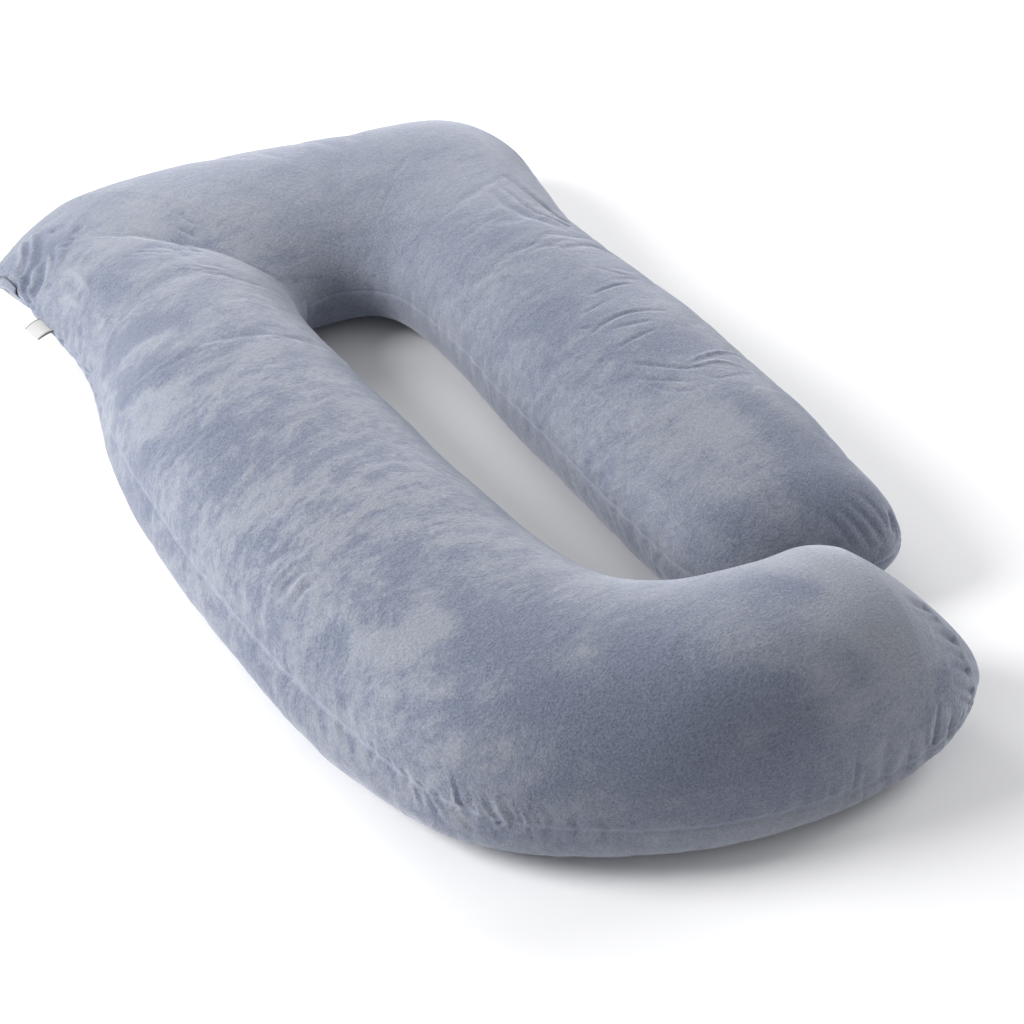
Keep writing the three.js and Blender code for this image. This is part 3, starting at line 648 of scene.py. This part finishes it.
def filled(cover):
    """How the cloth moves when the filling presses on it and the thread draws the seams together: a
    cloth simulation under pressure, less its broad swelling, on the cover's full grid."""
    start = cover.points[::COARSE, ::COARSE]
    piece = placed("filling_start", grid_mesh("filling_start", start, cover.tips))
    near_seam = np.minimum(cover.from_outer, cover.from_inner)[::COARSE, ::COARSE]
    groups = {
        "seam": np.clip(1 - near_seam / SEAM_REACH, 0, 1),
        "floor": (start[..., 2] < FLOOR_TOUCH).astype(float),
    }
    for name, weights in groups.items():
        group = piece.vertex_groups.new(name=name)
        flat = weights.ravel()
        for level in np.unique(np.round(flat, 1)):
            if level > 0:
                group.add(np.flatnonzero(np.round(flat, 1) == level).tolist(), float(level), "REPLACE")
    settings = piece.modifiers.new("Filling", "CLOTH").settings
    for name, value in FILL_CLOTH.items():
        setattr(settings, name, value)
    settings.effector_weights.gravity = 0
    for step in range(1, FILL_FRAMES + 1):
        bpy.context.scene.frame_set(step)
    shaped = piece.evaluated_get(bpy.context.evaluated_depsgraph_get())
    moved = np.empty(len(piece.data.vertices) * 3, np.float32)
    shaped.data.vertices.foreach_get("co", moved)
    bpy.context.scene.frame_set(1)
    bpy.data.objects.remove(piece)
    move = moved.reshape(-1, 3)[:-2].astype(float).reshape(start.shape) - start
    step_along = FULL_TRAVEL / len(start)
    step_around = AROUND / start.shape[1]
    move -= blurred(move, round(WRINKLE_SIZE / 3 / step_along), round(WRINKLE_SIZE / 3 / step_around))
    length = np.linalg.norm(move, axis=2, keepdims=True)
    move *= WRINKLE_CAP * np.tanh(length / WRINKLE_CAP) / np.maximum(length, 1e-9)
    slackness = by_section(SLACKNESS, cover.place)
    return finer(finer(move, 0, False), 1, True) * slackness[:, None, None]


# Seams, gathers and creases
NOTCH = {"depth": 0.0013, "width": 0.0020}  # the stitched line between the two panels


def bell(distance, width):
    """A bell curve of the distance: 1 at nothing, and a third at one width."""
    return np.exp(-(distance / width) ** 2)


def notch_relief(cover):
    """The stitched line: the cloth of both panels rolls in to it, by a bell curve of the distance."""
    return -NOTCH["depth"] * bell(np.minimum(cover.from_outer, cover.from_inner), NOTCH["width"])


def slit_relief(cover):
    """The closure's slit: a hollow just above the lip, and the cloth over it standing out a little,
    between the lip's two ends."""
    middle, half = (LIP["from"] + LIP["to"]) / 2, (LIP["to"] - LIP["from"]) / 2
    run = np.clip(1 - ((cover.place - middle) / half) ** 8, 0, 1)[:, None] * (cover.panel >= 0)
    hollow = SLIT["depth"] * bell(cover.from_outer - SLIT["at"], SLIT["height"])
    edge = SLIT["lip"] * bell(cover.from_outer - SLIT["at"] - 2 * SLIT["height"], SLIT["height"])
    return run * (edge - hollow)


SEEN_WITHIN = 3.0  # pixels from a grid point
FRONT_LAYER = 0.03  # metres behind the front-most one


class Sight:
    """The photograph's camera: where it stands, and which of the cover's grid points it sees."""

    def __init__(self, cover):
        azimuth, elevation = math.radians(VIEW["azimuth"]), math.radians(VIEW["elevation"])
        across, up = math.cos(elevation), math.sin(elevation)
        self.back = np.array([math.sin(azimuth) * across, -math.cos(azimuth) * across, up])
        self.right = np.array([math.cos(azimuth), math.sin(azimuth), 0])
        self.target = np.array(VIEW_TARGET) + cover.shift
        self.eye = self.target + self.back * VIEW["distance"]
        ring, column = np.nonzero(((self.eye - cover.points) * cover.normals()).sum(axis=2) > 0)
        self.grid = np.stack([ring, column], axis=1)
        ray = cover.points[ring, column] - self.eye
        self.depth = ray @ -self.back
        scale = VIEW["lens"] / VIEW["sensor"] * FRAME_SIDE / self.depth
        self.x = FRAME_SIDE / 2 + scale * (ray @ self.right)
        self.y = FRAME_SIDE / 2 - scale * (ray @ np.cross(self.back, self.right))

    def seen(self, pixels):
        """Ring and column of the front-most grid point at each pixel, or of the nearest one."""
        found = []
        for x, y in pixels:
            away = np.hypot(self.x - x, self.y - y)
            near = np.flatnonzero(away < max(SEEN_WITHIN, away.min() + 1))
            front = near[self.depth[near] < self.depth[near].min() + FRONT_LAYER]
            found.append(self.grid[front[away[front].argmin()]])
        return np.array(found).T


STROKE_STEPS = 14
STROKE_WIDTHS = 3  # how far a stroke reaches, in its widths
RING_STEP, COLUMN_STEP = 0.0010, 0.0016  # the closest that rings and columns stand
SHADE_MOST = 1.4  # the most that strokes add up to


def stroke(cover, sight, pixels, width):
    """A stroke through pixels of the photograph, as a smooth curve on the cover: the window of the
    grid that it reaches, and there the distance from the curve in widths, and how far along it."""
    ring, column = sight.seen(pixels)
    line = finer(cover.points[ring, column], 0, False, STROKE_STEPS)
    wrapped = np.where(column > cover.inner_column, column - cover.columns, column)
    if np.ptp(wrapped) < np.ptp(column):
        column = wrapped
    rings_out, columns_out = (int(STROKE_WIDTHS * width / step) for step in (RING_STEP, COLUMN_STEP))
    rows = np.arange(max(0, ring.min() - rings_out), min(RINGS, ring.max() + rings_out + 1))
    around = np.arange(column.min() - columns_out, column.max() + columns_out + 1)[:cover.columns]
    window = np.ix_(rows, around % cover.columns)
    points = cover.points[window].reshape(-1, 3)
    squares = (points ** 2).sum(axis=1)[:, None] + (line ** 2).sum(axis=1) - 2 * points @ line.T
    nearest = squares.argmin(axis=1)
    aside = np.sqrt(np.maximum(0, squares.min(axis=1))) / width
    run = running_length(line)
    shape = (len(rows), len(around))
    return window, aside.reshape(shape), (run[nearest] / run[-1]).reshape(shape)


def crease_relief(cover, sight):
    """Creases: a trough between two low banks, which fades towards the ends that aren't deepest, and
    the painted shade of its crushed pile, or a ridge's painted highlight, by a bell curve of the same
    distance."""
    relief = np.zeros(cover.points.shape[:2])
    crease_shading = np.zeros(cover.points.shape[:2])
    for deepest, depth, width, *pixels in CREASES:
        depth /= MILLIMETRES
        window, aside, share = stroke(cover, sight, pixels, width / MILLIMETRES)
        along = {"start": 1 - share, "end": share, "middle": np.sin(np.pi * share)}[deepest]
        profile = (1 - CREASE_BANKS * aside ** 2) * np.exp(-aside ** 2)
        along = np.maximum(0, along) ** CREASE_FADE
        relief[window] -= depth * along * profile
        # Painted shade in a trough, with the crushed pile, and a painted highlight on a ridge
        crease_shading[window] -= np.tanh(depth / FULL_DEPTH) * CREASE_SHADE * along * np.exp(-2 * aside ** 2)
    return relief, crease_shading


def pile_and_shading(cover, sight, crease_shading):
    """How much lighter or darker each point is painted: for the way that its pile is brushed, and for
    painted shade in hollows and troughs and painted highlights on ridges.
    """
    shade = np.zeros(cover.points.shape[:2])
    for mark, width, *pixels in PILE_AND_SHADING_MARKS:
        window, aside, share = stroke(cover, sight, pixels, width / MILLIMETRES)
        shade[window] += mark * np.exp(-aside ** 2) * (0.5 + 0.5 * np.sin(np.pi * share))
    under = by_section(UNDER_SHADE, cover.place)[:, None] * (cover.panel < 0)
    return np.clip(shade + under + crease_shading, -SHADE_MOST, SHADE_MOST)


# How gathers vary: as shares of their row's pitch, depth and reach, and their slant in metres a metre
GATHER_RANGE = {
    "width": (0.22, 0.42), "depth": (0.35, 1.25), "slant": (-0.35, 0.35),
    "reach": (0.5, 1.3), "step": (0.6, 1.5),
}
GATHER_PROFILE = 0.8


def gather_relief(cover, row, random):
    """Small gathers that leave a seam: a trough between two low ridges, which fades with distance."""
    gather = dict(zip(GATHER_COLUMNS, row))
    gather.update({name: gather[name] / MILLIMETRES for name in ("pitch", "depth", "over", "under")})
    along = cover.along[gather["side"]]
    off = cover.from_outer if gather["side"] == "outer" else cover.from_inner
    begin, end = np.interp([gather["first"], gather["last"]], cover.place, along)
    relief = np.zeros_like(off)
    at = begin
    while at < end:
        width = gather["pitch"] * random.uniform(*GATHER_RANGE["width"])
        depth = gather["depth"] * random.uniform(*GATHER_RANGE["depth"])
        slant = random.uniform(*GATHER_RANGE["slant"])
        stretch = random.uniform(*GATHER_RANGE["reach"])
        reach = np.where(cover.panel >= 0, gather["over"], gather["under"])[None, :] * stretch
        most = gather["over"] * stretch * 0.4 + 4 * width
        rows = slice(*np.searchsorted(along, [at - most, at + most]))
        aside = (along[rows, None] - at - slant * off[rows]) / width
        fade = np.clip(1 - off[rows] / reach, 0, 1) ** 1.5
        relief[rows] -= depth * (1 - aside ** 2) * np.exp(-GATHER_PROFILE * aside ** 2) * fade
        at += gather["pitch"] * random.uniform(*GATHER_RANGE["step"])
    return relief


LUMPS = {"count": 26, "longest": 0.34, "shortest": 0.09, "height": 0.0008}
RANDOM_START = 7
FLOOR_CALM = 0.012  # relief fades this near to the floor


def lump_relief(points, random):
    """The filling's uneven firmness: a sum of waves in all directions, the long ones higher."""
    relief = np.zeros(points.shape[:2])
    for _ in range(LUMPS["count"]):
        direction = random.normal(size=3)
        length = random.uniform(LUMPS["shortest"], LUMPS["longest"])
        wave = points @ (direction / np.linalg.norm(direction) * 2 * np.pi / length)
        relief += length / LUMPS["longest"] * np.sin(wave + random.uniform(0, 2 * np.pi))
    return LUMPS["height"] * relief / relief.std()


def shaped_cover(cover, sight):
    """The finished cushion's points, which are the smooth cover's, moved by its filling, gathers and
    creases, and how its pile is brushed at each, with painted shade and highlights along creases and gathers."""
    random = np.random.default_rng(RANDOM_START)
    relief = notch_relief(cover) + slit_relief(cover) + lump_relief(cover.points, random)
    for row in GATHERS:
        relief += gather_relief(cover, row, random)
    near_seam = np.minimum(cover.from_outer, cover.from_inner)
    creases, crease_shading = crease_relief(cover, sight)
    relief += creases * np.clip(near_seam / SEAM_CALM, 0, 1)
    off_floor = np.clip(cover.points[..., 2] / FLOOR_CALM, 0, 1)
    move = cover.normals() * relief[..., None]
    move += filled(cover)
    points = cover.points + move * off_floor[..., None]
    points[..., 2] = np.maximum(0, points[..., 2])
    return points, pile_and_shading(cover, sight, crease_shading)


# Materials
class Value:
    """A number or colour that varies over a surface. Arithmetic on it adds Math nodes."""

    def __init__(self, finish, socket):
        self.finish = finish
        self.socket = socket

    def math(self, operation, *others, clamp=False):
        inputs = {index: value for index, value in enumerate((self,) + others)}
        return self.finish.node("ShaderNodeMath", {"operation": operation, "use_clamp": clamp}, inputs)

    def __add__(self, other):
        return self.math("ADD", other)

    def __mul__(self, other):
        return self.math("MULTIPLY", other)

    def __sub__(self, other):
        return self.math("SUBTRACT", other)

    def __rsub__(self, other):
        return self.math("MULTIPLY_ADD", -1.0, other)

    __radd__ = __add__
    __rmul__ = __mul__


class Finish:
    """A material made of nodes: node() adds one, with its settings, its inputs and one output."""

    def __init__(self, name, colour):
        self.material = bpy.data.materials.new(name)
        self.material.use_nodes = True
        self.material.diffuse_color = (*colour, 1)
        self.tree = self.material.node_tree
        self.tree.nodes.clear()

    def node(self, kind, settings=(), inputs=(), output=0):
        made = self.tree.nodes.new(kind)
        for name, value in dict(settings).items():
            setattr(made, name, value)
        for name, value in dict(inputs).items():
            if isinstance(value, Value):
                self.tree.links.new(value.socket, made.inputs[name])
            else:
                made.inputs[name].default_value = value
        return Value(self, made.outputs[output])

    def coordinates(self):
        return self.node("ShaderNodeTexCoord", output="Object")

    def scaled(self, vector, scale, turn=0.0):
        """Coordinates turned about the upright axis first, and scaled after that."""
        turned = {"Vector": vector, "Rotation": (0, 0, math.radians(turn))}
        inputs = {"Vector": self.node("ShaderNodeMapping", (), turned), "Scale": scale}
        return self.node("ShaderNodeMapping", (), inputs)

    def noise(self, vector, scale, detail=2.0, roughness=0.5, distortion=0.0, output="Fac"):
        inputs = {
            "Vector": vector, "Scale": scale, "Detail": detail,
            "Roughness": roughness, "Distortion": distortion,
        }
        return self.node("ShaderNodeTexNoise", (), inputs, output)

    def grain(self, vector, scale, turn, detail, roughness):
        """Noise drawn out one way."""
        return self.noise(self.scaled(vector, scale, turn), 1.0, detail, roughness)

    def moved(self, vector, other, amount):
        """A vector plus another one, centred on zero and scaled."""
        centred = self.node("ShaderNodeVectorMath", {"operation": "SUBTRACT"}, {0: other, 1: (0.5, 0.5, 0.5)})
        scale = {"operation": "MULTIPLY_ADD"}
        return self.node("ShaderNodeVectorMath", scale, {0: centred, 1: (amount,) * 3, 2: vector})

    def between(self, value, low, high):
        """0 below low, 1 above high, and a smooth step between them."""
        inputs = {"Value": value, "From Min": low, "From Max": high}
        return self.node("ShaderNodeMapRange", {"interpolation_type": "SMOOTHSTEP"}, inputs)

    def mixed(self, share, first, second):
        inputs = {0: share, 6: first, 7: second}
        return self.node("ShaderNodeMix", {"data_type": "RGBA"}, inputs, 2)

    def attribute(self, name):
        return self.node("ShaderNodeAttribute", {"attribute_name": name}, (), "Fac")

    def bump(self, height, distance, strength=1.0):
        inputs = {"Height": height, "Distance": distance, "Strength": strength}
        return self.node("ShaderNodeBump", (), inputs, "Normal")

    def finished(self, inputs):
        """Puts the surface together, with the varying inputs linked and the rest set on the shader."""
        shader = self.node("ShaderNodeBsdfPrincipled", (), inputs, "BSDF")
        target = self.tree.nodes.new("ShaderNodeOutputMaterial")
        self.tree.links.new(shader.socket, target.inputs["Surface"])
        return self.material


def tone(colour, factor):
    """A colour made lighter or darker, with an alpha of 1."""
    return tuple(part * factor for part in colour) + (1.0,)


# The pile's pattern, from broad patches to single hairs: cells to a metre along, across and up, how
# far it is turned, its detail and its roughness. And how far cloudiness and brush marks, with their painted
# shade and highlights, pull it.
PILE = {
    "patches": ((5.5, 9.0, 9.0), -14.0, 4.0, 0.6),
    "strokes": ((17.0, 54.0, 54.0), -14.0, 3.0, 0.55),
    "mottle": ((80.0, 120.0, 120.0), -14.0, 4.0, 0.7),
    "tufts": ((240.0, 430.0, 430.0), -20.0, 3.0, 0.65),
}
PILE_SPAN = 0.36
PILE_SHADING_PULL = 0.55
CLOSE_SHARE = 0.36  # how much tufts and hairs count beside the broad pattern


def plush_finish():
    """Brushed short pile: cloudy patches, strokes and brush marks where the pile lies the other way, with
    painted shade in hollows and troughs and painted highlights on ridges, tufts and single hairs, a
    painted highlight along the seams, and a soft sheen on the edges."""
    finish = Finish("plush", PLUSH)
    here = finish.coordinates()
    bent = finish.moved(here, finish.noise(here, 3.5, 3.0, output="Color"), 0.10)
    frayed = finish.moved(bent, finish.noise(here, 50.0, 3.0, 0.6, output="Color"), 0.014)
    patches, strokes = (finish.grain(frayed, *PILE[name]) for name in ("patches", "strokes"))
    mottle, tufts = (finish.grain(bent, *PILE[name]) for name in ("mottle", "tufts"))
    hairs = finish.noise(here, 480.0, 3.0, 0.7)
    # The pile's lie, with painted shade in hollows and troughs and painted highlights on ridges
    pile_shading = finish.attribute("pile_shading")
    rubbed = finish.attribute("rubbed")
    cloud = (patches - 0.5) * (rubbed * 0.75 + 0.65) + (strokes - 0.5) * (rubbed * 1.3 + 0.2)
    cloud = cloud + (mottle - 0.5) * (rubbed * 0.8 + 0.3) + pile_shading * PILE_SHADING_PULL
    lie = finish.between(cloud, -PILE_SPAN, PILE_SPAN)
    broad = finish.mixed(lie, (*PLUSH_DEEP, 1), (*PLUSH_PALE, 1))
    fine = ((tufts - 0.5) * 2.2 + (hairs - 0.5) * 2.2).math("ADD", 0.5, clamp=True)
    close = finish.mixed(fine, tone(PLUSH, 0.45), tone(PLUSH, 1.70))
    pile = finish.mixed(CLOSE_SHARE, broad, close)
    # A painted highlight along the seams
    colour = finish.mixed(finish.attribute("seam_highlight") * 0.45, pile, tone(PLUSH, 1.9))
    height = lie * 0.25 + tufts * 0.55 + hairs * 0.20 + mottle * 0.40
    normal = finish.bump(height, 0.0020, 0.75)
    return finish.finished({
        "Base Color": colour, "Roughness": 0.95, "Normal": normal, "Specular IOR Level": 0.15,
        "Sheen Weight": 0.6, "Sheen Roughness": 0.42, "Sheen Tint": (0.86, 0.89, 1.0, 1.0),
    })


def tape_finish():
    """Woven tape: fine ribs along it and across it, and a firmer edge on both sides, painted darker as shade.
    """
    finish = Finish("woven_tape", TAPE)
    flat = finish.node("ShaderNodeUVMap", {"uv_map": "tape"})
    across = finish.node("ShaderNodeSeparateXYZ", (), {"Vector": flat}, "X")
    along = finish.node("ShaderNodeSeparateXYZ", (), {"Vector": flat}, "Y")
    ribs = (across * (2 * math.pi / TAPE_WEAVE)).math("SINE")
    picks = (along * (2 * math.pi / TAPE_WEAVE)).math("SINE")
    weave = ribs * picks * 0.5 + 0.5
    edge = (across - LABEL["along"] / 2).math("ABSOLUTE")
    border_shade_and_ridge = finish.between(edge, *(LABEL["along"] / 2 - border for border in LABEL["border"]))
    worn = finish.noise(finish.coordinates(), 180.0, 3.0)
    shade = weave * 0.40 + worn * 0.60
    face = finish.mixed(shade, tone(TAPE, 0.90), tone(TAPE, 1.10))
    # The border painted darker: painted shade along both edges
    colour = finish.mixed(border_shade_and_ridge, face, tone(TAPE, 0.50))
    normal = finish.bump(weave * 0.6 + border_shade_and_ridge * 0.8, 0.0003, 0.6)
    return finish.finished({
        "Base Color": colour, "Roughness": 0.62, "Normal": normal, "Specular IOR Level": 0.35,
    })


def floor_finish():
    """Matt paint with a very slight unevenness."""
    finish = Finish("floor_paint", FLOOR_PAINT)
    cloud = finish.noise(finish.coordinates(), 0.8, 2.0)
    colour = finish.mixed(cloud, tone(FLOOR_PAINT, 0.99), tone(FLOOR_PAINT, 1.01))
    return finish.finished({"Base Color": colour, "Roughness": 0.9})


def point_attribute(mesh, name, values):
    """Stores one number for each vertex of a mesh."""
    stored = mesh.attributes.new(name, "FLOAT", "POINT")
    stored.data.foreach_set("value", values.astype(np.float32))


def make_pillow(cover, points, pile_shading):
    piece = placed("pillow", grid_mesh("pillow", points, cover.tips))
    end_values = np.zeros(2)
    near_seam = np.minimum(cover.from_outer, cover.from_inner)
    rubbed = by_section(RUBBED, cover.place)[:, None] * np.ones(cover.columns)
    point_attribute(piece.data, "pile_shading", np.append(pile_shading.ravel(), end_values))
    point_attribute(piece.data, "rubbed", np.append(rubbed.ravel(), end_values + 0.5))
    # Where the painted highlight along the seams lies
    point_attribute(piece.data, "seam_highlight", np.append(bell(near_seam, SEAM_HIGHLIGHT_WIDTH).ravel(), end_values))
    piece.data.materials.append(plush)
    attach(piece, "root")
    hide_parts("filled_cover")


def open_grid_mesh(name, points, uv_name=None, uv=None):
    """A mesh of a grid of points joined by four-sided faces, with a UV map if one is given."""
    rows, columns = points.shape[:2]
    row, step = np.meshgrid(np.arange(rows - 1), np.arange(columns - 1), indexing="ij")
    first = (row * columns + step).ravel()
    faces = np.stack([first, first + columns, first + columns + 1, first + 1], axis=1)
    mesh = bpy.data.meshes.new(name)
    mesh.from_pydata(points.reshape(-1, 3).tolist(), [], faces.tolist())
    if uv_name:
        layer = mesh.uv_layers.new(name=uv_name)
        layer.data.foreach_set("uv", uv.reshape(-1, 2)[faces.ravel()].ravel().astype(np.float32))
    mesh.shade_smooth()
    return mesh


def thickened(piece, thickness):
    """Gives a sheet its thickness, outwards on the side that its faces show."""
    solid = piece.modifiers.new("Thickness", "SOLIDIFY")
    solid.thickness = thickness
    solid.offset = 1
    solid.use_even_offset = True


def beside_seam(cover, rings, distance):
    """Points of the smooth cover at distances from the outer seam, below it or, less than 0, above."""
    columns = np.arange(SEAM_COLUMNS, -SEAM_COLUMNS, -1)
    known = cover.from_outer[rings][:, columns] * np.where(columns > 0, -1, 1)
    first = known[:, :1]
    known = known - first
    wanted = (distance - first) / known[:, -1:]
    points = cover.points[rings][:, columns]
    return np.stack([row_interp(wanted, known, points[..., axis]) for axis in range(3)], axis=-1)


def make_lip(cover):
    """The closure's covered end: a strip that lies below the slit and swells to a soft roll, by half a
    sine wave across it, tapers to both ends, and has a few gathers."""
    rings = np.flatnonzero((cover.place > LIP["from"]) & (cover.place < LIP["to"]))
    across = np.linspace(0, 1, LIP_STEPS)
    along = np.linspace(0, 1, len(rings))[:, None]
    distance = LIP["top"] + (LIP["bottom"] - LIP["top"]) * across + np.zeros_like(along)
    base = beside_seam(cover, rings, distance)
    normal = np.cross(np.gradient(base, axis=1), np.gradient(base, axis=0))
    normal /= np.linalg.norm(normal, axis=2, keepdims=True)
    close, wide = LIP["waves"]
    gathers = 1 + LIP["gathers"] * np.sin(along * close + across * 3) * np.sin(along * wide)
    taper = np.clip(np.minimum(along, 1 - along) / LIP["taper"], 0, 1) ** 0.5
    swell = LIP["swell"] * np.sin(np.pi * across) ** 0.6 * taper * gathers + LIP_GAP
    points = base + normal * swell[..., None]
    piece = placed("closure_lip", open_grid_mesh("closure_lip", points.swapaxes(0, 1)))
    piece.data.materials.append(plush)
    thickened(piece, LIP["cloth"])
    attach(piece, "root")
    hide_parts("corner_lip")


def make_label(cover, points):
    """The label: a tape folded double. Seen from its side, the upper layer leaves the seam level,
    droops by the square of the distance, turns round the fold in a half circle and comes back below."""
    ring = int(np.searchsorted(cover.place, LABEL["place"]))
    step = int(LABEL["along"] / 2 / FULL_TRAVEL * RINGS)
    along = points[ring + step, 0] - points[ring - step, 0]
    along[2] = 0
    along /= np.linalg.norm(along)
    outward = np.cross(along, [0, 0, 1])
    half = LABEL["gap"] / 2
    out = np.linspace(0, 1, LABEL_STEPS)
    turn = np.linspace(0, np.pi, LABEL_STEPS // 2)[1:-1]
    reach = np.concatenate([out * LABEL["out"], LABEL["out"] + half * np.sin(turn), out[::-1] * LABEL["out"]])
    side = np.concatenate([np.ones(LABEL_STEPS), np.cos(turn), -np.ones(LABEL_STEPS)])
    share = np.clip(reach / LABEL["out"], 0, 1)
    open_by = half * (1 + LABEL["bulge"] * np.sin(np.pi * share))
    lift = side * open_by - LABEL["droop"] * share ** 2
    across = np.linspace(-0.5, 0.5, LABEL_STEPS)[:, None]
    curl = LABEL["twist"] * share * across + LABEL["cup"] * share ** 2 * across ** 2
    grid = (
        points[ring, 0] + along * (across * LABEL["along"])[..., None]
        + outward * reach[None, :, None] + np.array([0, 0, 1]) * (lift + curl)[..., None]
    )
    length = running_length(np.stack([reach, lift], axis=1))
    uv = np.stack(np.broadcast_arrays((across + 0.5) * LABEL["along"], length), axis=-1)
    piece = placed("label", open_grid_mesh("label", grid, "tape", uv))
    piece.data.materials.append(tape_finish())
    thickened(piece, LABEL["tape"])
    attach(piece, "root")
    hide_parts("side_label")


def make_floor():
    mesh = bpy.data.meshes.new("floor")
    signs = ((-1, -1), (1, -1), (1, 1), (-1, 1))
    corners = [(x * FLOOR_REACH, y * FLOOR_REACH, FLOOR_DROP) for x, y in signs]
    mesh.from_pydata(corners, [], [(0, 1, 2, 3)])
    floor = placed("floor", mesh)
    floor.data.materials.append(floor_finish())


def look_at(piece, place, target):
    piece.location = place
    piece.rotation_euler = (Vector(target) - Vector(place)).to_track_quat("-Z", "Y").to_euler()


def make_camera(sight):
    data = bpy.data.cameras.new("view")
    data.lens = VIEW["lens"]
    data.sensor_width = VIEW["sensor"]
    camera = bpy.data.objects.new("view", data)
    bpy.context.scene.collection.objects.link(camera)
    look_at(camera, sight.eye, sight.target)
    bpy.context.scene.camera = camera


def area_light(name, place, size, power):
    data = bpy.data.lights.new(name, "AREA")
    data.shape = "DISK"
    data.size = size
    data.energy = power
    light = bpy.data.objects.new(name, data)
    bpy.context.scene.collection.objects.link(light)
    look_at(light, place, LIT_POINT)


def make_lights():
    for name, place, size, power in LIGHTS:
        area_light(name, place, size, power)
    world = bpy.data.worlds.new("studio")
    world.use_nodes = True
    background = world.node_tree.nodes["Background"]
    background.inputs["Color"].default_value = (1, 1, 1, 1)
    background.inputs["Strength"].default_value = AMBIENT
    bpy.context.scene.world = world
    bpy.context.scene.view_settings.view_transform = "Standard"


cover = Cover()
sight = Sight(cover)
points, pile_shading = shaped_cover(cover, sight)
plush = plush_finish()
make_pillow(cover, points, pile_shading)
make_lip(cover)
make_label(cover, points)
make_floor()
make_camera(sight)
make_lights()
